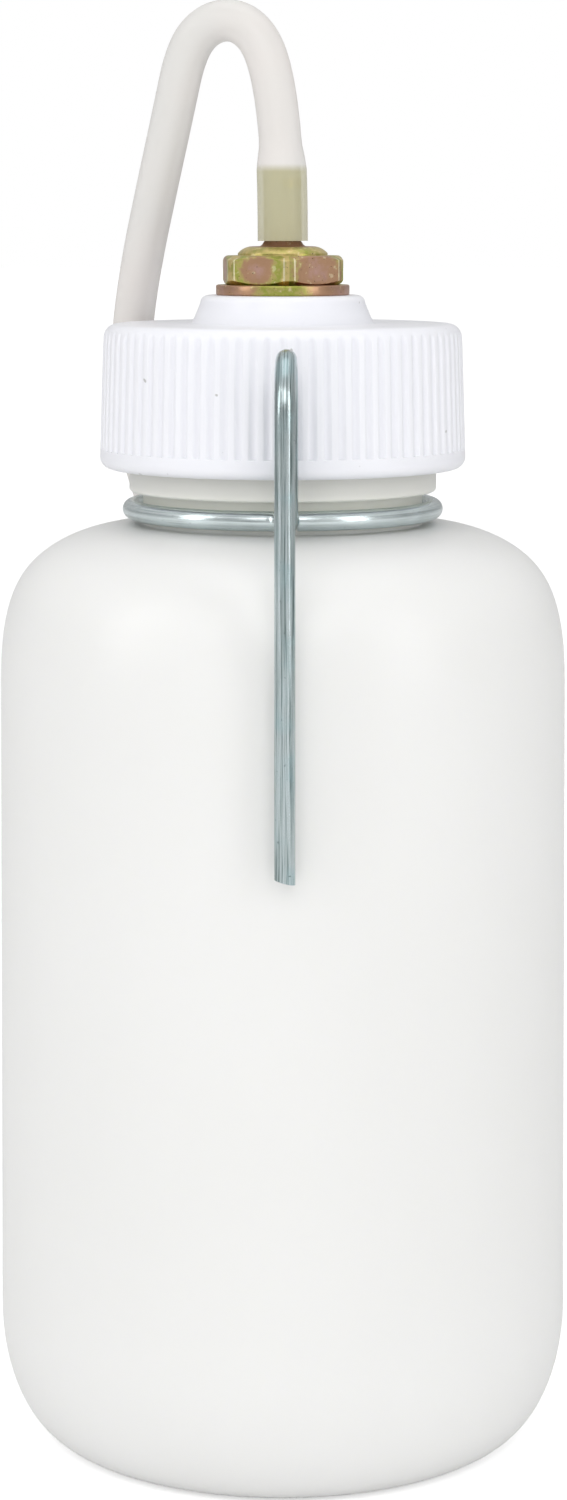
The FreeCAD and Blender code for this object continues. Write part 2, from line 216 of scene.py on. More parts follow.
class MaterialBench(Bench):
    """The node tree of one material, with the few helpers that every finish here uses."""

    def __init__(self, name: str) -> None:
        """Make an empty material.

        Args:
            name: The material's name.
        """
        self.material = bpy.data.materials.new(name)
        self.material.use_nodes = True
        super().__init__(self.material.node_tree)
        self.tree.nodes.clear()
        self.place = self.node("ShaderNodeTexCoord").outputs["Object"]

    def axes(self) -> tuple[Value, Value, Value]:
        """Object coordinates as three numbers, in metres."""
        parts = self.node("ShaderNodeSeparateXYZ", {}, {0: self.place}).outputs
        return Value(self, parts[0]), Value(self, parts[1]), Value(self, parts[2])

    def around(self) -> Value:
        """Angle about the object's Z axis, in turns."""
        x, y, _ = self.axes()
        return self.math("ARCTAN2", y, x) / TURN

    def uv(self) -> tuple[Value, Value]:
        """The piece's own UV map as two numbers."""
        coords = self.node("ShaderNodeUVMap", {"uv_map": "UVMap"}).outputs[0]
        parts = self.node("ShaderNodeSeparateXYZ", {}, {0: coords}).outputs
        return Value(self, parts[0]), Value(self, parts[1])

    def vector(self, x: Any, y: Any, z: Any) -> bpy.types.NodeSocket:
        """Three numbers as one vector."""
        return self.node("ShaderNodeCombineXYZ", {}, {0: x, 1: y, 2: z}).outputs[0]

    def noise(self, scale: float, detail: float = 2.0, at: Any = None, rough: float = 0.5) -> Value:
        """Noise of a given fineness, on the object's coordinates unless another place is given."""
        inputs = {"Vector": self.place if at is None else at, "Scale": scale, "Detail": detail, "Roughness": rough}
        node = self.node("ShaderNodeTexNoise", {}, inputs)
        return Value(self, node.outputs[0])

    def ramp(self, amount: Value, *stops: tuple[float, Colour]) -> bpy.types.NodeSocket:
        """Colour along a ramp."""
        return self.node("ShaderNodeValToRGB", {"stops": stops}, {0: amount}).outputs[0]

    def blend(self, amount: Any, first: Any, second: Any) -> bpy.types.NodeSocket:
        """Mix of two colours."""
        inputs = {"Factor_Float": amount, "A_Color": first, "B_Color": second}
        node = self.node("ShaderNodeMix", {"data_type": "RGBA"}, inputs)
        return next(socket for socket in node.outputs if socket.identifier == "Result_Color")

    def bump(self, height: Value, depth: float, strength: float = 1.0, under: Any = None) -> bpy.types.NodeSocket:
        """Normal of a surface with small relief, whose height 1 stands for depth in metres."""
        inputs = {"Height": height, "Distance": depth, "Strength": strength}
        if under is not None:
            inputs["Normal"] = under
        return self.node("ShaderNodeBump", {}, inputs).outputs[0]

    def finish(self, **inputs: Any) -> bpy.types.Material:
        """Close the tree with a Principled shader.

        Args:
            **inputs: The shader's sockets, with underscores for spaces.

        Returns:
            The finished material.
        """
        named = {name.replace("_", " "): value for name, value in inputs.items()}
        shader = self.node("ShaderNodeBsdfPrincipled", {}, named)
        self.node("ShaderNodeOutputMaterial", {}, {"Surface": shader.outputs[0]})
        return self.material


class GeometryBench(Bench):
    """A Geometry Nodes tree that takes a mesh and a finish, and named sizes."""

    def __init__(self, name: str, sizes: dict[str, str]) -> None:
        """Make a tree with its group sockets.

        Args:
            name: The tree's name.
            sizes: Socket type of each named size.
        """
        tree = bpy.data.node_groups.new(name, "GeometryNodeTree")
        super().__init__(tree)
        self.keys: dict[str, str] = {}
        tree.interface.new_socket("Shape", in_out="INPUT", socket_type="NodeSocketGeometry")
        for label, kind in {**sizes, "Finish": "NodeSocketMaterial"}.items():
            self.keys[label] = tree.interface.new_socket(label, in_out="INPUT", socket_type=kind).identifier
        tree.interface.new_socket("Shape", in_out="OUTPUT", socket_type="NodeSocketGeometry")
        self.given = self.node("NodeGroupInput")

    def size(self, label: str) -> Value:
        """A named size of the tree as a number."""
        return Value(self, next(socket for socket in self.given.outputs if socket.name == label))

    def close(self, shape: bpy.types.NodeSocket) -> None:
        """End the tree: real geometry in the given finish."""
        real = self.node("GeometryNodeRealizeInstances", {}, {0: shape}).outputs[0]
        given = next(socket for socket in self.given.outputs if socket.name == "Finish")
        dressed = self.node("GeometryNodeSetMaterial", {}, {"Geometry": real, "Material": given}).outputs[0]
        self.node("NodeGroupOutput", {}, {0: dressed})

    def run(self, shape: bpy.types.Mesh, sizes: dict[str, Any], finish: bpy.types.Material) -> bpy.types.Mesh:
        """Evaluate the tree on a mesh.

        Args:
            shape: The mesh that goes in.
            sizes: Values of the named sizes.
            finish: The material of the result.

        Returns:
            The result as a plain mesh.
        """
        maker = bpy.data.objects.new(self.tree.name, shape)
        bpy.context.scene.collection.objects.link(maker)
        modifier = maker.modifiers.new(self.tree.name, "NODES")
        modifier.node_group = self.tree
        for label, value in {**sizes, "Finish": finish}.items():
            modifier[self.keys[label]] = value
        graph = bpy.context.evaluated_depsgraph_get()
        result = bpy.data.meshes.new_from_object(maker.evaluated_get(graph), depsgraph=graph)
        bpy.data.objects.remove(maker)
        return result


def lathe_tree() -> GeometryBench:
    """Tree that turns a half section in the XZ plane about Z."""
    bench = GeometryBench("lathe", {"Segments": "NodeSocketInt"})
    shape = bench.given.outputs[0]
    counted = bench.node("GeometryNodeAttributeDomainSize", {"component": "MESH"}, {0: shape})
    rows = Value(bench, counted.outputs[0])
    segments = bench.size("Segments")
    grid = bench.node(
        "GeometryNodeMeshGrid", {}, {"Size X": 1.0, "Size Y": 1.0, "Vertices X": segments + 1, "Vertices Y": rows}
    )
    index = Value(bench, bench.node("GeometryNodeInputIndex").outputs[0])
    column = bench.math("FLOOR", (index + 0.25) / rows)
    sampled = bench.node(
        "GeometryNodeSampleIndex",
        {"data_type": "FLOAT_VECTOR", "domain": "POINT"},
        {
            "Geometry": shape,
            "Value": bench.node("GeometryNodeInputPosition").outputs[0],
            "Index": index - column * rows,
        },
    )
    turned = bench.node(
        "ShaderNodeVectorRotate",
        {"rotation_type": "Z_AXIS"},
        {"Vector": sampled.outputs[0], "Angle": column / segments * TURN},
    )
    placed = bench.node("GeometryNodeSetPosition", {}, {0: grid.outputs[0], "Position": turned.outputs[0]})
    merged = bench.node("GeometryNodeMergeByDistance", {}, {0: placed.outputs[0], "Distance": 1e-6})
    bench.close(merged.outputs[0])
    return bench


def ring_tree() -> GeometryBench:
    """Tree that repeats a sector all the way round Z and joins the copies."""
    bench = GeometryBench("ring of sectors", {"Copies": "NodeSocketInt"})
    copies = bench.size("Copies")
    points = bench.node("GeometryNodePoints", {}, {"Count": copies})
    index = Value(bench, bench.node("GeometryNodeInputIndex").outputs[0])
    turn = bench.node("ShaderNodeCombineXYZ", {}, {2: index / copies * TURN})
    placed = bench.node(
        "GeometryNodeInstanceOnPoints",
        {},
        {"Points": points.outputs[0], "Instance": bench.given.outputs[0], "Rotation": turn.outputs[0]},
    )
    real = bench.node("GeometryNodeRealizeInstances", {}, {0: placed.outputs[0]})
    merged = bench.node("GeometryNodeMergeByDistance", {}, {0: real.outputs[0], "Distance": 1e-6})
    bench.close(merged.outputs[0])
    return bench


# --- shapes -------------------------------------------------------------------------------------------------


def bowed(start: Point, middle: Point, end: Point, steps: int) -> Section:
    """Circular arc through three points, without its first point."""
    (ax, ay), (bx, by), (cx, cy) = start, middle, end
    d = 2 * (ax * (by - cy) + bx * (cy - ay) + cx * (ay - by))
    aa, bb, cc = ax * ax + ay * ay, bx * bx + by * by, cx * cx + cy * cy
    ox = (aa * (by - cy) + bb * (cy - ay) + cc * (ay - by)) / d
    oy = (aa * (cx - bx) + bb * (ax - cx) + cc * (bx - ax)) / d
    radius = math.hypot(ax - ox, ay - oy)
    first = math.atan2(ay - oy, ax - ox)
    sweep = math.remainder(math.atan2(cy - oy, cx - ox) - first, TURN)
    half = math.remainder(math.atan2(by - oy, bx - ox) - first, TURN)
    if half * sweep < 0:
        sweep -= math.copysign(TURN, sweep)
    angles = [first + sweep * (i + 1) / steps for i in range(steps)]
    return [(ox + radius * math.cos(a), oy + radius * math.sin(a)) for a in angles]


def flowing(poles: Sequence[Point], steps: int) -> Section:
    """Clamped cubic spline on its poles, without its first point."""
    inner = len(poles) - 4
    knots = [0.0] * 4 + [(i + 1) / (inner + 1) for i in range(inner)] + [1.0] * 4
    made = []
    for i in range(steps):
        t = (i + 1) / steps
        span = min(max(k for k in range(3, len(poles)) if knots[k] <= t), len(poles) - 1)
        d = [poles[span - 3 + j] for j in range(4)]
        for r in range(1, 4):
            for j in range(3, r - 1, -1):
                low = knots[span - 3 + j]
                share = (t - low) / (knots[span + 1 + j - r] - low)
                d[j] = tuple(a * (1 - share) + b * share for a, b in zip(d[j - 1], d[j]))
        made.append(d[3])
    return made


def eased(r: float, z: float, radius: float, up: int, steps: int = 5) -> Section:
    """Rounded corner of a section that goes upwards on the outside.

    Args:
        r: The corner's radius from the axis.
        z: The corner's height.
        radius: Radius of the rounding.
        up: 1 at a lower edge, -1 at an upper one.
        steps: Pieces of the arc.

    Returns:
        The arc's points, its first one included.
    """
    made = []
    for i in range(steps + 1):
        a = math.pi / 2 * (i / steps if up > 0 else 1 - i / steps)
        made.append((r - radius * (1 - math.sin(a)), z + up * radius * (1 - math.cos(a))))
    return made


def section_mesh(name: str, section: Section) -> bpy.types.Mesh:
    """Mesh of a section's points in the XZ plane, joined by edges."""
    mesh = bpy.data.meshes.new(name)
    edges = [(i, i + 1) for i in range(len(section) - 1)]
    mesh.from_pydata([(r, 0.0, z) for r, z in section], edges, [])
    return mesh


def sector_mesh(
    name: str, angles: Sequence[float], section_at: Callable[[float], Section], whole: bool
) -> bpy.types.Mesh:
    """Mesh of sections that stand side by side round Z.

    Args:
        name: The mesh's name.
        angles: The sections' angles, in radians.
        section_at: Gives the section at an angle; all have the same number of points.
        whole: True if the last section joins the first one again.

    Returns:
        The mesh, with coinciding points merged.
    """
    built = bmesh.new()
    columns = []
    for angle in angles:
        c, s = math.cos(angle), math.sin(angle)
        columns.append([built.verts.new((r * c, r * s, z)) for r, z in section_at(angle)])
    pairs = list(zip(columns, columns[1:] + columns[:1]))
    for here, there in pairs if whole else pairs[:-1]:
        for i in range(len(here) - 1):
            built.faces.new((here[i], there[i], there[i + 1], here[i + 1]))
    bmesh.ops.remove_doubles(built, verts=built.verts, dist=1e-7)
    mesh = bpy.data.meshes.new(name)
    built.to_mesh(mesh)
    built.free()
    return mesh


@dataclass
class Ring:
    """One cross-section of a tube or wire."""

    centre: Vector
    side: Vector
    up: Vector
    radius: float
    along: float


def framed(line: Sequence[Vector]) -> list[tuple[Vector, Vector, Vector, float]]:
    """Points of a line with two side directions that don't twist, and the distance along it."""
    count = len(line)
    ahead = [(line[min(i + 1, count - 1)] - line[max(i - 1, 0)]).normalized() for i in range(count)]
    side = ahead[0].orthogonal().normalized()
    if abs(ahead[0].x) < 0.9:
        side = (Vector((1, 0, 0)) - ahead[0] * ahead[0].x).normalized()
    made = []
    run = 0.0
    for i, point in enumerate(line):
        if i:
            run += (point - line[i - 1]).length
            side = ahead[i - 1].rotation_difference(ahead[i]) @ side
            side = (side - ahead[i] * side.dot(ahead[i])).normalized()
        made.append((point, side.copy(), ahead[i].cross(side), run))
    return made


def ringed_mesh(name: str, rings: Sequence[Ring], points: int, loop: bool) -> bpy.types.Mesh:
    """Skin over rings, with a UV map that runs round and along.

    Args:
        name: The mesh's name.
        rings: The rings in order.
        points: Points on each ring.
        loop: True if the last ring joins the first one again, as on a tube with a bore.

    Returns:
        The closed mesh.
    """
    built = bmesh.new()
    layer = built.loops.layers.uv.new("UVMap")
    verts = []
    for ring in rings:
        row = []
        for k in range(points):
            a = TURN * k / points
            row.append(built.verts.new(ring.centre + (ring.side * math.cos(a) + ring.up * math.sin(a)) * ring.radius))
        verts.append(row)
    order = list(range(len(rings)))
    pairs = list(zip(order, order[1:] + order[:1]))
    for i, j in pairs if loop else pairs[:-1]:
        for k in range(points):
            m = (k + 1) % points
            face = built.faces.new((verts[i][k], verts[i][m], verts[j][m], verts[j][k]))
            corners = ((k, i), (k + 1, i), (k + 1, j), (k, j))
            for corner, (around, ring) in zip(face.loops, corners):
                corner[layer].uv = (around / points, rings[ring].along)
    bmesh.ops.remove_doubles(built, verts=built.verts, dist=1e-8)
    mesh = bpy.data.meshes.new(name)
    built.to_mesh(mesh)
    built.free()
    return mesh


def tidied(mesh: bpy.types.Mesh, sharp_deg: float = 35.0, parts: Iterable[bpy.types.Mesh] = ()) -> bpy.types.Mesh:
    """Join shells into one mesh, turn their faces outwards and shade them smooth up to an angle.

    Args:
        mesh: The first shell, which becomes the result.
        sharp_deg: Edges sharper than this stay sharp.
        parts: Further closed shells.

    Returns:
        The same mesh.
    """
    whole = bmesh.new()
    for shell in (mesh, *parts):
        one = bmesh.new()
        one.from_mesh(shell)
        if one.calc_volume(signed=True) < 0:
            bmesh.ops.reverse_faces(one, faces=one.faces)
        kept = bpy.data.meshes.new("shell")
        one.to_mesh(kept)
        one.free()
        whole.from_mesh(kept)
        bpy.data.meshes.remove(kept)
    bmesh.ops.triangulate(whole, faces=[face for face in whole.faces if len(face.verts) > 4])
    whole.to_mesh(mesh)
    whole.free()
    mesh.shade_smooth()
    mesh.set_sharp_from_angle(angle=math.radians(sharp_deg))
    return mesh


def piece_of(name: str, mesh: bpy.types.Mesh, finish: Optional[bpy.types.Material] = None) -> bpy.types.Object:
    """Object at the origin for a mesh, in one finish."""
    mesh.name = name
    if finish is not None:
        mesh.materials.clear()
        mesh.materials.append(finish)
    piece = bpy.data.objects.new(name, mesh)
    bpy.context.scene.collection.objects.link(piece)
    return piece


def bevelled(mesh: bpy.types.Mesh, width: float, angle_deg: float, segments: int = 2) -> bpy.types.Mesh:
    """Mesh with its sharp edges broken by a small bevel."""
    maker = bpy.data.objects.new("bevel", mesh)
    bpy.context.scene.collection.objects.link(maker)
    bevel = maker.modifiers.new("bevel", "BEVEL")
    bevel.width = width
    bevel.segments = segments
    bevel.limit_method = "ANGLE"
    bevel.angle_limit = math.radians(angle_deg)
    bevel.harden_normals = True
    graph = bpy.context.evaluated_depsgraph_get()
    result = bpy.data.meshes.new_from_object(maker.evaluated_get(graph), depsgraph=graph)
    bpy.data.objects.remove(maker)
    return result


# --- finishes -----------------------------------------------------------------------------------------------


@dataclass(frozen=True)
class Polyethylene:
    """Natural blow-moulded polyethylene: milky, satin, faintly cloudy where the wall is thicker, with painted light
    in the neck's groove and a darker neck that is partly its thicker wall and partly painted shade from the cap.
    """

    thin: Colour = (0.80, 0.80, 0.785)
    thick: Colour = (0.85, 0.85, 0.84)
    # neck: darker for the thicker neck wall, and partly painted shade from the cap above it
    neck: Colour = (0.72, 0.72, 0.685)
    # groove: painted light that lifts the shadow of the hanger's ring in the neck's groove, with a warm tint
    groove: Colour = (0.93, 0.92, 0.84)
    roughness: float = 0.36

    def make(self) -> bpy.types.Material:
        """Build the material."""
        bench = MaterialBench("natural_polyethylene")
        _, _, z = bench.axes()
        cloud = bench.noise(22.0, 3.0)
        grain = bench.noise(900.0, 2.0)
        drift = bench.noise(60.0, 2.0)
        low = 1 - z.between(0.0, 0.05)
        colour = bench.blend(cloud * 0.7 + low * 0.3, self.thin, self.thick)
        # Painted light in the neck's groove against the ring's shadow, with a warm tint.
        colour = bench.blend(z.between(0.1488, 0.1502), colour, self.groove)
        # The neck below the cap: partly its thicker wall, partly painted shade from the cap.
        colour = bench.blend(z.between(0.1525, 0.1560), colour, self.neck)
        relief = bench.bump(drift, 0.0003, 0.25)
        return bench.finish(
            Base_Color=colour,
            Roughness=self.roughness + (grain - 0.5) * 0.12 + (cloud - 0.5) * 0.1,
            Normal=bench.bump(grain, 0.00003, 0.5, relief),
            Subsurface_Weight=0.6,
            Subsurface_Radius=(1.0, 1.0, 0.92),
            Subsurface_Scale=0.0012,
            IOR=1.5,
        )


@dataclass(frozen=True)
class Polypropylene:
    """White moulded cap plastic with a few specks of dirt."""

    body: Colour = (0.855, 0.86, 0.90)
    shade: Colour = (0.82, 0.825, 0.87)
    speck: Colour = (0.45, 0.44, 0.43)
    roughness: float = 0.33

    def make(self) -> bpy.types.Material:
        """Build the material."""
        bench = MaterialBench("white_polypropylene")
        cloud = bench.noise(45.0, 2.0)
        grain = bench.noise(1500.0, 2.0)
        speck = bench.noise(520.0, 1.0).between(0.775, 0.80)
        colour = bench.blend(speck * 0.8, bench.blend(cloud, self.shade, self.body), self.speck)
        return bench.finish(
            Base_Color=colour,
            Roughness=self.roughness + (grain - 0.5) * 0.12,
            Normal=bench.bump(grain, 0.00002, 0.5),
            Subsurface_Weight=0.5,
            Subsurface_Radius=(1.0, 1.0, 1.0),
            Subsurface_Scale=0.0014,
            IOR=1.5,
        )


@dataclass(frozen=True)
class YellowZinc:
    """Yellow chromate on zinc plate: rose in the middle of the hexagon's flats, green and olive gold towards its
    edges with pale corners that are partly wear and partly a painted highlight, a gold dome, a rose cone, an olive
    barb and a washer that is rose at its sides."""

    rose: Colour = (0.47, 0.28, 0.17)
    pink: Colour = (0.55, 0.34, 0.29)
    gold: Colour = (0.66, 0.53, 0.22)
    green: Colour = (0.37, 0.40, 0.08)
    # pale: colour of the hexagon's edges, partly wear and partly painted highlight, and of fine random flecks
    olive: Colour = (0.50, 0.44, 0.15)
    pale: Colour = (0.84, 0.77, 0.52)
    stain: Colour = (0.10, 0.07, 0.04)
    roughness: float = 0.34
    corner_turn: float = -84.0 / 360.0
    corner_off: float = 0.84
    washer_r: float = 11.0 * MM
    hex_z: float = 188.35 * MM
    dome_z: float = 193.15 * MM
    cone_z: float = 194.55 * MM
    barb_z: float = 195.55 * MM

    def zones(self, bench: MaterialBench, z: Value) -> Value:
        """Tone of the washer, dome, cone and barb, as a place on the colour ramp."""
        x, _, _ = bench.axes()
        side = (abs(x) / self.washer_r).between(0.05, 0.85)
        washer = (1 - z.over(self.hex_z)) * (0.80 - side * 0.58)
        dome = z.over(self.dome_z) * (1 - z.over(self.cone_z)) * 0.97
        cone = z.over(self.cone_z) * (1 - z.over(self.barb_z)) * 0.36
        return washer + dome + cone + z.over(self.barb_z) * 0.90

    def make(self) -> bpy.types.Material:
        """Build the material."""
        bench = MaterialBench("yellow_zinc")
        _, _, z = bench.axes()
        wide = bench.noise(240.0, 3.0)
        fine = bench.noise(1100.0, 3.0)
        pits = bench.noise(2600.0, 2.0)
        sixths = (bench.around() - self.corner_turn) * 6.0
        off = abs(bench.math("FRACT", sixths) - 0.5) * 2.0
        half_h = (self.dome_z - self.hex_z) / 2
        high = abs(z - (self.hex_z + half_h)) / half_h
        on_flats = 1 - high.over(1.0)
        spread = 0.82 + bench.math("SINE", bench.math("FLOOR", sixths) * 1.875 - math.pi / 2) * 0.25
        oval = bench.math("SQRT", off * off * 1.1 + high * high * 0.45) * spread
        drift = (wide - 0.5) * 2.4 + (fine - 0.5) * 2.2
        tone = (oval + drift * 0.28) * on_flats + (self.zones(bench, z) + drift * 0.20) * (1 - on_flats)
        colour = bench.ramp(
            tone,
            (0.0, self.pink),
            (0.34, self.rose),
            (0.50, self.rose),
            (0.68, self.olive),
            (0.78, self.green),
            (0.90, self.olive),
            (1.0, self.gold),
        )
        # Pale band at each vertical edge of the hexagon: partly wear of the plating, partly a painted highlight.
        wear_and_painted_highlight = (1 - (abs(off - self.corner_off) / 0.035).between(0.5, 1.0)) * on_flats * (1 - high.over(0.86))
        colour = bench.blend(wear_and_painted_highlight * (0.35 + fine * 0.8), colour, self.pale)
        colour = bench.blend(fine.between(0.60, 0.72) * 0.4, colour, self.pale)
        colour = bench.blend(pits.between(0.70, 0.74), colour, self.stain)
        return bench.finish(
            Base_Color=colour,
            Metallic=0.95,
            Roughness=self.roughness + (fine - 0.5) * 0.25,
            Normal=bench.bump(fine + pits * 0.6, 0.00004, 0.5),
        )


@dataclass(frozen=True)
class BlueZinc:
    """Blue chromate on drawn wire: lines along the wire in steel blue and grey, partly drawing marks and partly
    painted reflection, and a painted reflection that makes the ring paler.
    """

    dark: Colour = (0.09, 0.13, 0.13)
    steel: Colour = (0.36, 0.43, 0.43)
    pale: Colour = (0.60, 0.67, 0.69)
    tint: Colour = (0.36, 0.51, 0.54)
    # Pale colour painted on the ring in place of the reflection that lights its front.
    bright: Colour = (0.82, 0.90, 0.91)
    ring_low: float = 149.0 * MM
    ring_high: float = 153.6 * MM
    ring_front: float = -30.0 * MM
    roughness: float = 0.22

    def make(self) -> bpy.types.Material:
        """Build the material."""
        bench = MaterialBench("blue_zinc")
        _, y, z = bench.axes()
        u, v = bench.uv()
        turn = u * TURN
        around = bench.vector(bench.math("COSINE", turn) * 1.0, bench.math("SINE", turn) * 1.0, v * 9.0)
        lines = bench.noise(5.0, 4.0, around, 0.65)
        fine = bench.noise(17.0, 2.0, around)
        wide = bench.noise(160.0, 2.0)
        pits = bench.noise(1900.0, 2.0)
        # Lines along the wire: partly drawing marks, partly a painted reflection of dark strips round the wire.
        lines_and_painted_reflection = lines * 0.75 + fine * 0.25
        colour = bench.ramp(lines_and_painted_reflection, (0.40, self.dark), (0.47, self.steel), (0.60, self.pale))
        colour = bench.blend(wide.between(0.45, 0.70) * 0.5, colour, self.tint)
        # Painted reflection: the ring is made paler in place of the bright reflection on its front.
        ring = z.over(self.ring_low) * (1 - z.over(self.ring_high)) * y.over(self.ring_front)
        colour = bench.blend(ring * (0.30 + wide * 0.75), colour, self.bright)
        colour = bench.blend(pits.between(0.70, 0.76) * 0.7, colour, self.dark)
        return bench.finish(
            Base_Color=colour,
            Metallic=1.0,
            Roughness=self.roughness + (lines - 0.5) * 0.3,
            Normal=bench.bump(lines_and_painted_reflection, 0.00006, 0.6),
        )


@dataclass(frozen=True)
class Silicone:
    """Milky silicone hose, warm grey, with faint drifts along it; clearer and khaki where the barb stretches it."""

    milk: Colour = (0.82, 0.81, 0.785)
    warm: Colour = (0.84, 0.80, 0.77)
    khaki: Colour = (0.60, 0.57, 0.36)
    alpha: float = 0.80
    cuff_alpha: float = 0.62
    cuff_low_z: float = 190.0 * MM
    cuff_top_z: float = 207.15 * MM
    cuff_side_x: float = -10.0 * MM
    fade_below: float = 0.4 * MM
    fade_above: float = 1.2 * MM
    roughness: float = 0.35

    def make(self) -> bpy.types.Material:
        """Build the material."""
        bench = MaterialBench("milky_silicone")
        x, _, z = bench.axes()
        drift = bench.noise(38.0, 2.0)
        dust = bench.noise(1200.0, 2.0)
        _, v = bench.uv()
        bands = bench.noise(1.0, 2.0, bench.vector(0.0, 0.0, v * 60.0))
        faded = z.between(self.cuff_top_z - self.fade_below, self.cuff_top_z + self.fade_above)
        cuff = z.over(self.cuff_low_z) * x.over(self.cuff_side_x) * (1 - faded)
        colour = bench.blend((drift + bands * 0.5).between(0.5, 1.0), self.milk, self.warm)
        return bench.finish(
            Base_Color=bench.blend(cuff * 0.9, colour, self.khaki),
            Alpha=self.alpha + (self.cuff_alpha - self.alpha) * cuff + (drift - 0.5) * 0.08,
            Roughness=self.roughness + (dust - 0.5) * 0.15,
            Normal=bench.bump(dust + drift, 0.00004, 0.4),
            IOR=1.41,
        )


@dataclass(frozen=True)
class BlackRubber:
    """Moulded rubber with a dusty bloom."""

    body: Colour = (0.022, 0.022, 0.024)
    bloom: Colour = (0.075, 0.074, 0.072)
    roughness: float = 0.55

    def make(self) -> bpy.types.Material:
        """Build the material."""
        bench = MaterialBench("black_rubber")
        bloom = bench.noise(240.0, 3.0)
        grain = bench.noise(2200.0, 2.0)
        return bench.finish(
            Base_Color=bench.blend(bloom.between(0.45, 0.75) * 0.7, self.body, self.bloom),
            Roughness=self.roughness + (bloom - 0.5) * 0.3,
            Normal=bench.bump(grain, 0.00005, 0.6),
        )


@dataclass(frozen=True)
class FoamLiner:
    """Foamed sealing disc: off-white with fine pores."""

    body: Colour = (0.84, 0.84, 0.82)
    pore: Colour = (0.60, 0.60, 0.57)
    roughness: float = 0.7

    def make(self) -> bpy.types.Material:
        """Build the material."""
        bench = MaterialBench("foam_liner")
        pores = bench.noise(1800.0, 2.0)
        return bench.finish(
            Base_Color=bench.blend(pores.between(0.55, 0.7), self.body, self.pore),
            Roughness=self.roughness + (pores - 0.5) * 0.2,
            Normal=bench.bump(pores, 0.0001, 0.7),
        )


class Finish(Enum):
    """The finishes of the bottle's pieces, each with the record slot that it belongs to."""

    BOTTLE = ("bottle_polyethylene", Polyethylene())
    CAP = ("cap_polypropylene", Polypropylene())
    LINER = ("liner_foam", FoamLiner())
    YELLOW = ("zinc_yellow", YellowZinc())
    BLUE = ("zinc_blue", BlueZinc())
    HOSE = ("hose_silicone", Silicone())
    SEAL = ("seal_rubber", BlackRubber())
    CONNECTOR = ("connector_rubber", BlackRubber(body=(0.018, 0.018, 0.019)))

    @property
    def slot(self) -> str:
        """Name of the record's material slot."""
        return self.value[0]

    def material(self) -> bpy.types.Material:
        """The finish's material, made once."""
        name = f"{self.slot}_finish"
        if name not in bpy.data.materials:
            self.value[1].make().name = name
        return bpy.data.materials[name]


def dress_nodes(finish: Finish, *nodes: str) -> None:
    """Give CAD pieces that stay a finish."""
    for node in nodes:
        held = bpy.data.objects[node]
        held.data.materials.clear()
        held.data.materials.append(finish.material())
        log.info("%s stays, in %s", node, finish.slot)


def settle(piece: bpy.types.Object, finish: Finish, body: str, *nodes: str) -> bpy.types.Object:
    """Put a piece on its body in place of CAD nodes, and report it."""
    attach(piece, body)
    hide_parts(*nodes)
    log.info("%s rides on %s for %s", piece.name, body, ", ".join(nodes))
    return piece


# --- studio -------------------------------------------------------------------------------------------------


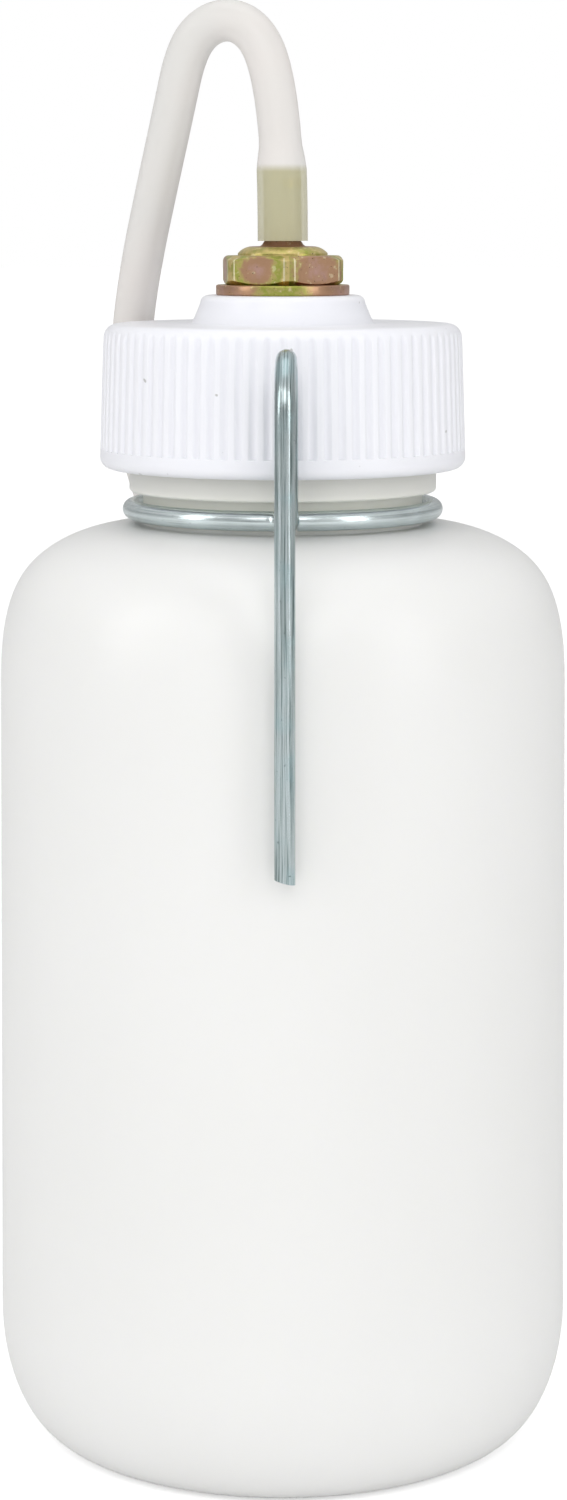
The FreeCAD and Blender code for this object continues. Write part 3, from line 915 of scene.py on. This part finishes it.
@dataclass
class Studio:
    """Camera, soft lights, pale floor and surroundings."""

    camera_back: float = 0.555042
    camera_height: float = 0.199868
    pitch_deg: float = 2.0
    lens: float = 80.88
    shift: Point = (0.0005, -0.2785)

    def camera(self) -> None:
        """Place the camera."""
        data = bpy.data.cameras.new("camera")
        data.sensor_width = 36.0
        data.lens = self.lens
        data.shift_x, data.shift_y = self.shift
        data.clip_start, data.clip_end = 0.01, 50.0
        camera = bpy.data.objects.new("camera", data)
        camera.location = (0.0, -self.camera_back, self.camera_height)
        camera.rotation_euler = (math.radians(90 - self.pitch_deg), 0.0, 0.0)
        bpy.context.scene.collection.objects.link(camera)
        bpy.context.scene.camera = camera

    def softbox(
        self, name: str, at: Sequence[float], width: float, height: float, power: float, mirrored: bool = True
    ) -> None:
        """Hang a soft light that faces the bottle.

        Args:
            name: The light's name.
            at: Its middle.
            width: Its width.
            height: Its height.
            power: Its power in watts.
            mirrored: False if shiny pieces don't show it.
        """
        data = bpy.data.lights.new(name, "AREA")
        data.shape = "RECTANGLE"
        data.size, data.size_y = width, height
        data.energy = power
        lamp = bpy.data.objects.new(name, data)
        lamp.location = at
        lamp.visible_glossy = mirrored
        aim = Vector((0.0, 0.0, 0.12)) - Vector(at)
        lamp.rotation_mode = "QUATERNION"
        lamp.rotation_quaternion = aim.to_track_quat("-Z", "Y")
        bpy.context.scene.collection.objects.link(lamp)

    def floor(self) -> None:
        """Lay the pale floor."""
        mesh = bpy.data.meshes.new("floor")
        reach = 12.0
        edge = ((-reach, -reach), (reach, -reach), (reach, reach), (-reach, reach))
        mesh.from_pydata([(x, y, -0.0002) for x, y in edge], [], [(0, 1, 2, 3)])
        bench = MaterialBench("pale_floor")
        drift = bench.noise(2.0, 2.0)
        seen = Value(bench, bench.node("ShaderNodeLightPath").outputs["Is Camera Ray"])
        finish = bench.finish(
            Base_Color=bench.blend(drift, (0.86, 0.86, 0.86), (0.88, 0.88, 0.88)),
            Roughness=0.9,
            Emission_Color=bench.blend(seen, (0.0, 0.0, 0.0), (0.5, 0.5, 0.5)),
            Emission_Strength=1.0,
        )
        piece_of("floor", mesh, finish)

    def surroundings(self) -> None:
        """White to look at; for light, brighter above and darker round the horizon."""
        world = bpy.data.worlds.new("studio")
        world.use_nodes = True
        bpy.context.scene.world = world
        world.node_tree.nodes.clear()
        bench = Bench(world.node_tree)
        way = bench.node("ShaderNodeTexCoord").outputs["Generated"]
        height = Value(bench, bench.node("ShaderNodeSeparateXYZ", {}, {0: way}).outputs[2])
        rise = height.between(0.02, 0.75)
        seen = Value(bench, bench.node("ShaderNodeLightPath").outputs["Is Camera Ray"])
        strength = seen * 1.0 + (1 - seen) * (0.44 + rise * 0.30)
        shade = bench.node("ShaderNodeBackground", {}, {"Color": (1.0, 1.0, 1.0), "Strength": strength})
        bench.node("ShaderNodeOutputWorld", {}, {"Surface": shade.outputs[0]})

    def build(self) -> None:
        """Make everything but the camera."""
        scene = bpy.context.scene
        scene.view_settings.view_transform = "Standard"
        scene.view_settings.look = "None"
        self.floor()
        self.surroundings()
        self.softbox("left box", (-1.0, -0.42, 0.55), 0.3, 0.8, 2.1)
        self.softbox("right box", (0.85, -0.65, 0.45), 0.25, 0.8, 1.9)
        self.softbox("top box", (0.0, 0.1, 1.2), 0.9, 0.9, 1.6)
        self.softbox("high front box", (-0.05, -0.85, 0.75), 0.8, 0.45, 1.6)
        self.softbox("front box", (-0.10, -1.15, 0.30), 1.5, 0.9, 3.2, False)


# --- hose ---------------------------------------------------------------------------------------------------


@dataclass
class Hose:
    """Silicone hose from the fitting over the back of the bottle into a coil behind it, with its rubber end."""

    od: float = 7.0 * MM
    bore: float = 4.0 * MM
    start_z: float = 195.55 * MM
    barb_top_z: float = 207.15 * MM
    cuff_r: float = 4.13 * MM
    cuff_bore_r: float = 3.12 * MM
    cuff_taper: float = 5.0 * MM
    coil_r: float = 40.0 * MM
    coil_y: float = 94.0 * MM
    coil_points: int = 14
    coil_step: float = 7.25 * MM
    coil_end_deg: float = -707.0
    length: float = 0.95
    end_in: float = 8.0 * MM

    ARCH = (
        (0, 0, 195.55),
        (0, 0, 208.05),
        (-1.2, 0.6, 220.55),
        (-3.4, 1.7, 228.65),
        (-7.7, 3.7, 232.35),
        (-12.6, 6.1, 231.55),
        (-16.1, 8.0, 227.25),
        (-18.4, 10.4, 216.75),
        (-21.2, 13.9, 204.55),
        (-24.0, 18.3, 192.05),
        (-26.0, 23.4, 179.55),
        (-26.3, 29.5, 166.55),
        (-24.0, 36.7, 154.05),
    )
    FALL = (
        (-20.0, 45.0, 142.0),
        (-16.4, 51.5, 129.5),
        (-14.8, 55.7, 115.0),
        (-15.4, 57.7, 100.0),
        (-18.2, 58.7, 85.0),
        (-22.2, 59.3, 70.0),
        (-27.0, 60.5, 55.5),
        (-31.4, 63.1, 42.5),
        (-35.2, 67.9, 31.5),
        (-38.5, 75.4, 22.9),
    )
    TAIL = (
        (41.1, 84.5, 4.4),
        (42.4, 73.0, 5.0),
        (43.7, 61.5, 5.0),
    )

    def turns(self) -> list[Vector]:
        """Route points of the coil, which drops from turn to turn behind the bottle's right side."""
        step = 360.0 / self.coil_points
        reach = self.coil_r / math.cos(math.pi / self.coil_points)
        floor = self.od / 2
        made = []
        angle = 180.0 + step / 2
        while angle > self.coil_end_deg - 0.01:
            drop = 0.0
            for ramp_start in (-8.0, -368.0):
                t = min(max((ramp_start - angle) / 107.0, 0.0), 1.0)
                drop += t * t * (3 - 2 * t)
            z = floor + self.coil_step * (2 - drop)
            a = math.radians(angle)
            made.append(Vector((reach * math.cos(a), self.coil_y + reach * math.sin(a), z)))
            angle -= step
        return made

    def route(self) -> list[Vector]:
        """All the route's points, in metres."""
        first = [Vector(point) * MM for point in self.ARCH + self.FALL]
        return first + self.turns() + [Vector(point) * MM for point in self.TAIL]

    def centreline(self) -> list[Vector]:
        """Points read from the smooth spline on the route's points."""
        route = self.route()
        curve = bpy.data.curves.new("hose_route", "CURVE")
        curve.dimensions = "3D"
        curve.resolution_u = 9
        spline = curve.splines.new("NURBS")
        spline.points.add(len(route) - 1)
        for point, at in zip(spline.points, route):
            point.co = (*at, 1.0)
        spline.order_u = 3
        spline.use_endpoint_u = True
        holder = bpy.data.objects.new("hose_route", curve)
        bpy.context.scene.collection.objects.link(holder)
        read = bpy.data.meshes.new_from_object(holder)
        line = [vertex.co.copy() for vertex in read.vertices]
        bpy.data.objects.remove(holder)
        bpy.data.meshes.remove(read)
        return line

    def tube(self, line: Sequence[Vector]) -> bpy.types.Mesh:
        """Hollow tube along the line, stretched over the barb at its start."""
        outer, inner = [], []
        barb_l = self.barb_top_z - self.start_z
        for centre, side, up, run in framed(line):
            t = min(max((run - barb_l) / self.cuff_taper, 0.0), 1.0)
            t = t * t * (3 - 2 * t)
            outer.append(Ring(centre, side, up, self.cuff_r * (1 - t) + self.od / 2 * t, run))
            inner.append(Ring(centre, side, up, self.cuff_bore_r * (1 - t) + self.bore / 2 * t, run))
        return ringed_mesh("hose", outer + inner[::-1], 28, True)

    def sleeve(self, line: Sequence[Vector]) -> bpy.types.Mesh:
        """Rubber sleeve on the hose's end: a grip with shallow rings and a bore that goes over a bleed screw."""
        along = (line[-1] - line[-4]).normalized()
        base = line[-1] - along * self.end_in
        side = Vector((0, 0, 1))
        up = along.cross(side)
        mm = [
            (0.0, 3.55), (0.0, 4.1), (0.3, 4.3), (4.2, 4.3), (4.5, 4.0), (5.3, 4.0), (5.6, 4.3), (6.4, 4.3),
            (6.7, 4.0), (7.5, 4.0), (7.8, 4.3), (11.0, 4.3), (11.7, 4.85), (12.1, 5.0), (20.9, 5.0), (21.6, 4.8),
            (22.0, 4.3), (22.0, 3.5), (21.6, 3.2), (12.0, 3.2), (12.0, 2.0), (8.0, 2.0), (8.0, 3.55),
        ]
        rings = [Ring(base + along * (s * MM), side, up, r * MM, s * MM) for s, r in mm]
        return ringed_mesh("bleed_connector", rings, 48, True)

    def build(self) -> None:
        line = self.centreline()
        run = sum((b - a).length for a, b in zip(line, line[1:]))
        log.info("hose centreline %.4f m", run)
        hose = piece_of("silicone_hose", tidied(self.tube(line), 50.0), Finish.HOSE.material())
        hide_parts("hose", "hose_coil", "hose_tail")
        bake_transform(hose)
        sleeve = piece_of("rubber_connector", tidied(self.sleeve(line), 40.0), Finish.CONNECTOR.material())
        settle(sleeve, Finish.CONNECTOR, "bottle", "bleed_connector")


# --- bottle -------------------------------------------------------------------------------------------------


@dataclass
class Bottle:
    """Blow-moulded bottle with a grooved neck and a threaded mouth."""

    wall_r: float = 46.5 * MM
    wall: float = 1.3 * MM
    wall_top_z: float = 123.5 * MM
    corner_w: float = 11.0 * MM
    corner_h: float = 20.5 * MM
    push_up: float = 3.0 * MM
    stand_w: float = 3.0 * MM
    groove_z: float = 149.0 * MM
    groove_r: float = 23.0 * MM
    collar_z: float = 154.4 * MM
    neck_r: float = 25.3 * MM
    neck_wall: float = 2.0 * MM
    mouth_z: float = 177.9 * MM
    pitch: float = 4.0 * MM
    turns: float = 1.5
    thread_depth: float = 1.5 * MM
    thread_top_down: float = 2.4 * MM
    segments: int = 160

    def shell(self, inset: float) -> Section:
        """Half section from the axis to the groove, moved inwards by inset."""
        stand = self.wall_r - self.corner_w
        wall = self.wall_r - inset
        width = self.corner_w - inset
        height = self.corner_h - inset
        top = self.groove_z - inset
        section = [(0.0, self.push_up + inset)]
        middle = (stand / 2, self.push_up * 0.7 + inset)
        section += bowed(section[0], middle, (stand - self.stand_w, inset), 14)
        section.append((stand - self.stand_w * 0.5, inset))
        section.append((stand, inset))
        corner = [(stand, inset), (stand + width * 0.55, inset), (wall, inset + height * 0.45), (wall, self.corner_h)]
        section += flowing(corner, 18)
        rise = self.wall_top_z - self.corner_h
        section += [(wall, self.corner_h + rise * (i + 1) / 10) for i in range(10)]
        shoulder = [
            (wall, self.wall_top_z),
            (wall, self.wall_top_z + 12.3 * MM),
            (wall - 5.2 * MM, top - 3.1 * MM),
            (self.neck_r + 4.5 * MM, top),
            (self.neck_r - 1.35 * MM, top),
        ]
        return section + flowing(shoulder, 30)

    def section(self) -> Section:
        """Closed half section: the outside going up, the inside coming down."""
        outside = self.shell(0.0)
        outside += [
            (self.groove_r + 0.4 * MM, self.groove_z),
            (self.groove_r + 0.12 * MM, self.groove_z + 0.12 * MM),
            (self.groove_r, self.groove_z + 0.4 * MM),
            (self.groove_r, self.collar_z - 0.4 * MM),
            (self.groove_r + 0.12 * MM, self.collar_z - 0.12 * MM),
            (self.groove_r + 0.4 * MM, self.collar_z),
        ]
        outside += eased(self.neck_r, self.collar_z, 0.6 * MM, 1)
        outside += eased(self.neck_r, self.mouth_z, 0.6 * MM, -1)
        bore = self.neck_r - self.neck_wall
        low = self.groove_r - self.wall
        inside = [(bore + 0.3 * MM, self.mouth_z), (bore, self.mouth_z - 0.3 * MM)]
        inside += [(bore, self.collar_z + self.neck_wall), (low, self.collar_z), (low, self.groove_z - self.wall)]
        return outside + inside + self.shell(self.wall)[::-1]

    def thread(self) -> bpy.types.Mesh:
        """Helical ridge on the neck, which fades into it at both ends."""
        count = int(72 * self.turns)
        low = self.mouth_z - self.thread_top_down - self.pitch * self.turns
        root = self.neck_r - 0.3 * MM
        built = bmesh.new()
        rows = []
        for i in range(count + 1):
            t = i / count
            rise = min(1.0, t * 12, (1 - t) * 12)
            crest = root + (self.thread_depth + 0.3 * MM) * rise
            z = low + self.pitch * self.turns * t
            a = TURN * self.turns * t
            half = 1.1 * MM
            corners = ((root, z - half), (crest, z - half * 0.45), (crest, z + half * 0.45), (root, z + half))
            rows.append([built.verts.new((r * math.cos(a), r * math.sin(a), h)) for r, h in corners])
        for here, there in zip(rows, rows[1:]):
            for k in range(4):
                m = (k + 1) % 4
                built.faces.new((here[k], there[k], there[m], here[m]))
        built.faces.new(rows[0])
        built.faces.new(rows[-1][::-1])
        bmesh.ops.recalc_face_normals(built, faces=built.faces)
        mesh = bpy.data.meshes.new("neck_thread")
        built.to_mesh(mesh)
        built.free()
        return mesh

    def build(self, lathe: GeometryBench) -> None:
        """Make the bottle in place of its CAD solid."""
        finish = Finish.BOTTLE.material()
        mesh = lathe.run(section_mesh("bottle", self.section()), {"Segments": self.segments}, finish)
        tidied(mesh, 40.0, [self.thread()])
        settle(piece_of("bottle", mesh, finish), Finish.BOTTLE, "bottle", "bottle_body")


# --- cap ----------------------------------------------------------------------------------------------------


@dataclass
class Cap:
    """Ribbed screw cap with its hub, and the pieces clamped in it that stay as they are."""

    rim_z: float = 158.25 * MM
    top_z: float = 181.95 * MM
    inside_z: float = 179.35 * MM
    rim_r: float = 30.1 * MM
    draft: float = 0.6 * MM
    bore_r: float = 27.25 * MM
    rim_round: float = 1.8 * MM
    top_round: float = 2.2 * MM
    hub_r: float = 14.8 * MM
    hub_top_r: float = 13.6 * MM
    hub_z: float = 186.65 * MM
    hub_under_z: float = 183.85 * MM
    hub_round: float = 1.3 * MM
    hub_foot: float = 0.7 * MM
    core_r: float = 10.815 * MM
    shank_hole_r: float = 6.1 * MM
    ribs: int = 80
    rib_depth: float = 0.35 * MM
    rib_cutter: float = 0.8 * MM
    ribs_up: float = 3.2 * MM

    def outside(self) -> Section:
        """Smooth section of the skirt and its top edge, going up, with a row for every few tenths in the edges."""
        up = self.top_z - self.rim_z
        section = [(self.rim_r - self.rim_round - 0.4 * MM, self.rim_z)]
        section += eased(self.rim_r, self.rim_z, self.rim_round, 1, 7)
        z0 = self.rim_z + self.rim_round
        for share in (0.04, 0.0699, 0.0701, 0.074, 0.10, 0.2, 0.35, 0.5, 0.65, 0.8, 0.92):
            z = z0 + share * (up - self.rim_round - self.top_round)
            section.append((self.rim_r - self.draft * (z - z0) / (up - self.rim_round), z))
        return section + eased(self.rim_r - self.draft, self.top_z, self.top_round, -1, 9)

    def groove(self, turn: float, z: float) -> float:
        """Radius of the groove between two ribs, at an angle from its middle; large outside the groove."""
        up = z - self.rim_z
        if up < self.ribs_up:
            return 1.0
        slope = self.draft / (self.top_z - self.rim_z)
        axis = self.rim_r - slope * up + self.rib_cutter - self.rib_depth
        across = axis * math.sin(turn)
        if abs(across) >= self.rib_cutter:
            return 1.0
        return axis * math.cos(turn) - math.sqrt(self.rib_cutter ** 2 - across ** 2)

    def section_at(self, turn: float) -> Section:
        """Closed half section of the whole cap at an angle from a groove's middle."""
        skirt = []
        for r, z in self.outside():
            skirt.append((min(r, self.groove(turn, z)), z))
        foot = [(self.hub_r + self.hub_foot * (1 - math.sin(a)), self.top_z + self.hub_foot * (1 - math.cos(a)))
                for a in (0.0, 0.5, 1.05, 1.5708)]
        lean = (self.hub_r - self.hub_top_r) / (self.hub_z - self.top_z)
        wall = [(self.hub_r - lean * self.hub_foot, self.top_z + self.hub_foot * 1.3)]
        edge = eased(self.hub_top_r, self.hub_z, self.hub_round, -1, 7)
        top = [(self.shank_hole_r + 0.2 * MM, self.hub_z), (self.shank_hole_r, self.hub_z - 0.2 * MM)]
        under = [
            (self.shank_hole_r, self.hub_under_z),
            (self.core_r, self.hub_under_z),
            (self.core_r, self.inside_z),
            (self.bore_r, self.inside_z),
            (self.bore_r, self.rim_z + 0.4 * MM),
            (self.bore_r + 0.4 * MM, self.rim_z),
            (self.rim_r - self.rim_round - 0.4 * MM, self.rim_z),
        ]
        return skirt + foot + wall + edge + top + under

    def build(self, ring: GeometryBench) -> None:
        """Make the cap in place of its CAD solid."""
        finish = Finish.CAP.material()
        half = math.radians(180.0 / self.ribs)
        shares = (-1.0, -0.72, -0.565, -0.465, -0.33, -0.17, 0.0, 0.17, 0.33, 0.465, 0.565, 0.72, 1.0)
        sector = sector_mesh("cap_sector", [half * share for share in shares], self.section_at, False)
        mesh = ring.run(sector, {"Copies": self.ribs}, finish)
        tidied(mesh, 65.0)
        settle(piece_of("ribbed_cap", mesh, finish), Finish.CAP, "cap", "screw_cap")
        dress_nodes(Finish.LINER, "cap_liner")
        dress_nodes(Finish.SEAL, "seal_washer")
        dress_nodes(Finish.YELLOW, "inner_washer", "lock_nut")


# --- fitting ------------------------------------------------------------------------------------------------


@dataclass
class Fitting:
    """Hose fitting turned from hexagon bar, and the flat washer under it."""

    shank_z: float = 174.65 * MM
    shank_r: float = 6.0 * MM
    shank_pitch: float = 1.5 * MM
    shank_depth: float = 0.8 * MM
    bore_r: float = 1.5 * MM
    hex_z: float = 188.35 * MM
    hex_h: float = 4.8 * MM
    flats: float = 19.0 * MM
    turned_r: float = 10.5 * MM
    chamfer: float = 1.3 * MM
    turn_deg: float = -84.0
    dome_r: float = 7.4 * MM
    dome_h: float = 1.4 * MM
    dome_top_r: float = 4.1 * MM
    cone_r: float = 3.9 * MM
    cone_h: float = 1.0 * MM
    cone_top_r: float = 3.0 * MM
    barb_l: float = 11.6 * MM
    barb_r: float = 3.05 * MM
    barb_root_r: float = 2.3 * MM
    barb_tip_r: float = 2.55 * MM
    barbs: int = 3
    washer_r: float = 11.0 * MM
    washer_z: float = 186.65 * MM

    def shank(self) -> Section:
        """The threaded shank, going up."""
        root = self.shank_r - self.shank_depth
        section = [(self.bore_r, self.shank_z), (root, self.shank_z)]
        for i in range(int((self.hex_z - self.shank_z) / self.shank_pitch)):
            z = self.shank_z + i * self.shank_pitch
            section.append((self.shank_r, z + self.shank_pitch * 0.4))
            section.append((self.shank_r, z + self.shank_pitch * 0.5))
            section.append((root, z + self.shank_pitch * 0.9))
        return section + [(root, self.hex_z)]

    def nose(self) -> Section:
        """Dome, cone and barb above the hexagon, going up, and the bore coming down."""
        dome_z = self.hex_z + self.hex_h
        cone_z = dome_z + self.dome_h
        hose_z = cone_z + self.cone_h
        rim = (self.dome_r, dome_z + 0.35 * MM)
        section = [(self.dome_r, dome_z), rim, (self.dome_r - 0.12 * MM, dome_z + 0.5 * MM)]
        high = (self.dome_r * 0.75 + self.dome_top_r * 0.25, dome_z + self.dome_h * 0.76)
        section += bowed(section[-1], high, (self.dome_top_r, cone_z), 8)
        section += [(self.cone_r, cone_z), (self.cone_r * 0.45 + self.cone_top_r * 0.55, cone_z + self.cone_h * 0.4)]
        section += [(self.cone_top_r, hose_z), (self.barb_root_r, hose_z)]
        step = self.barb_l / (self.barbs + 0.5)
        top = hose_z + self.barb_l
        for i in range(self.barbs):
            low = top - step * (self.barbs - i)
            section += [(self.barb_root_r, low), (self.barb_r, low + step * 0.1)]
            section += [(self.barb_r, low + step * 0.5), (self.barb_tip_r, low + step)]
        return section + [(self.bore_r, top), (self.bore_r, self.shank_z)]

    def section_at(self, angle: float) -> Section:
        """Closed half section of the whole fitting at an angle about Z."""
        off = math.remainder(math.degrees(angle) - self.turn_deg - 30.0, 60.0)
        reach = min(self.flats / 2 / math.cos(math.radians(off)), self.turned_r)
        land = self.turned_r - self.chamfer
        cut = max(reach - land, 0.0) * 0.58
        low, high = self.hex_z, self.hex_z + self.hex_h
        hexagon = [
            (7.6 * MM, low),
            (min(reach, land), low),
            (reach, low + cut),
            (reach, high - cut),
            (min(reach, land), high),
        ]
        return self.shank() + hexagon + self.nose()

    def washer(self) -> Section:
        """Closed half section of the flat washer."""
        hole = self.shank_r + 0.1 * MM
        edge = 0.25 * MM
        section = [(hole, self.washer_z)]
        section += eased(self.washer_r, self.washer_z, edge, 1, 3)
        section += eased(self.washer_r, self.hex_z, edge, -1, 3)
        return section + [(hole, self.hex_z), (hole, self.washer_z)]

    def build(self, lathe: GeometryBench) -> None:
        """Make the fitting and the washer in place of their CAD solids."""
        finish = Finish.YELLOW.material()
        corner = math.degrees(math.acos(self.flats / 2 / self.turned_r))
        offs = (-30.0, -corner, -22.5, -19.5, -16.5, -12.0, -6.0, 0.0, 6.0, 12.0, 16.5, 19.5, 22.5, corner)
        angles = [math.radians(self.turn_deg + 30 + 60 * i + off) for i in range(6) for off in offs]
        mesh = sector_mesh("hose_fitting", angles, self.section_at, True)
        tidied(mesh, 25.0)
        mesh = bevelled(mesh, 0.14 * MM, 24.0)
        settle(piece_of("hexagon_fitting", mesh, finish), Finish.YELLOW, "cap", "hose_fitting")
        flat = lathe.run(section_mesh("washer", self.washer()), {"Segments": 120}, finish)
        tidied(flat, 35.0)
        settle(piece_of("flat_washer", flat, finish), Finish.YELLOW, "cap", "outer_washer")


# --- hanger -------------------------------------------------------------------------------------------------


@dataclass
class Hanger:
    """Wire hanger: a ring in the neck's groove, a riser beside the cap, a hook and a long front leg."""

    wire_r: float = 1.6 * MM
    ring_r: float = 24.8 * MM
    ring_z: float = 151.5 * MM
    bend_r: float = 4.0 * MM
    riser_r: float = 32.9 * MM
    leg_r: float = 49.5 * MM
    riser_x: float = 0.8 * MM
    leg_x: float = 0.3 * MM
    hook_z: float = 169.45 * MM
    leg_l: float = 70.7 * MM
    bend_run: float = 0.2 * MM
    end_gap: float = 0.41 * MM
    cut_deg: float = 14.0

    def line(self) -> list[Vector]:
        """Points along the middle of the wire."""
        bend_x = self.riser_x - self.bend_r
        bend_y = -math.sqrt((self.ring_r + self.bend_r) ** 2 - bend_x ** 2)
        bend_at = math.atan2(bend_y, bend_x)
        rim = self.ring_r + self.wire_r
        centres = self.ring_r + self.bend_r
        reach = self.bend_r + self.wire_r + self.end_gap
        free = bend_at + math.acos((rim ** 2 + centres ** 2 - reach ** 2) / (2 * rim * centres))
        made = []
        last = bend_at + TURN
        for i in range(141):
            a = free + (last - free) * i / 140
            made.append(Vector((self.ring_r * math.cos(a), self.ring_r * math.sin(a), self.ring_z)))
        bend = Vector((bend_x, bend_y, self.ring_z))
        for i in range(1, 13):
            a = (bend_at + math.pi) * (1 - i / 12)
            made.append(bend + Vector((math.cos(a), math.sin(a), 0.0)) * self.bend_r)
        rise = self.riser_r + bend_y - self.bend_run
        foot = Vector((self.riser_x, rise - self.riser_r, self.ring_z))
        for i in range(0, 13):
            a = math.pi / 2 * i / 12
            made.append(foot + Vector((0.0, -rise * math.sin(a), rise * (1 - math.cos(a)))))
        riser_top = Vector((self.riser_x, -self.riser_r, self.hook_z))
        leg_top = Vector((self.leg_x, -self.leg_r, self.hook_z))
        made += [made[-1].lerp(riser_top, (i + 1) / 6) for i in range(5)]
        middle = (riser_top + leg_top) / 2
        out = riser_top - middle
        for i in range(33):
            a = math.pi * i / 32
            made.append(middle + out * math.cos(a) + Vector((0.0, 0.0, out.length * math.sin(a))))
        made += [leg_top - Vector((0.0, 0.0, self.leg_l * (i + 1) / 24)) for i in range(24)]
        return made

    def mesh(self) -> bpy.types.Mesh:
        """Skin of the wire, with a rounded-off ring end and a sheared leg end."""
        rings = [Ring(c, side, up, self.wire_r, run) for c, side, up, run in framed(self.line())]
        first, last = rings[0], rings[-1]
        start = [Ring(first.centre, first.side, first.up, 0.0, first.along),
                 Ring(first.centre, first.side, first.up, self.wire_r * 0.86, first.along)]
        rings[0] = Ring(first.centre.lerp(rings[1].centre, 0.22), first.side, first.up, self.wire_r, first.along)
        end = [Ring(last.centre, last.side, last.up, 0.0, last.along)]
        mesh = ringed_mesh("wire_hanger", start + rings + end, 32, False)
        lean = math.tan(math.radians(self.cut_deg))
        low = self.hook_z - self.leg_l
        for vertex in mesh.vertices:
            if vertex.co.z < low + 0.1 * MM and vertex.co.y < -self.leg_r + 2 * self.wire_r:
                vertex.co.z = low + (self.leg_x + self.wire_r - vertex.co.x) * lean
        return mesh

    def build(self) -> None:
        """Make the hanger in place of its CAD solid."""
        mesh = tidied(self.mesh(), 40.0)
        settle(piece_of("hanger_wire", mesh, Finish.BLUE.material()), Finish.BLUE, "hanger", "wire_hanger")


# --- main ---------------------------------------------------------------------------------------------------


def corners(box: tuple[Vector, Vector]) -> list[list[float]]:
    """A box's two corners as plain lists."""
    return [[round(value, 6) for value in corner] for corner in box]


def main() -> None:
    """Build the whole bottle, cords and camera first."""
    logging.basicConfig(level=logging.INFO, format="%(name)s: %(message)s")
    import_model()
    studio = Studio()
    studio.camera()
    Hose().build()
    lathe, ring = lathe_tree(), ring_tree()
    Bottle().build(lathe)
    Cap().build(ring)
    Fitting().build(lathe)
    Hanger().build()
    studio.build()


if __name__ == "__main__":
    main()
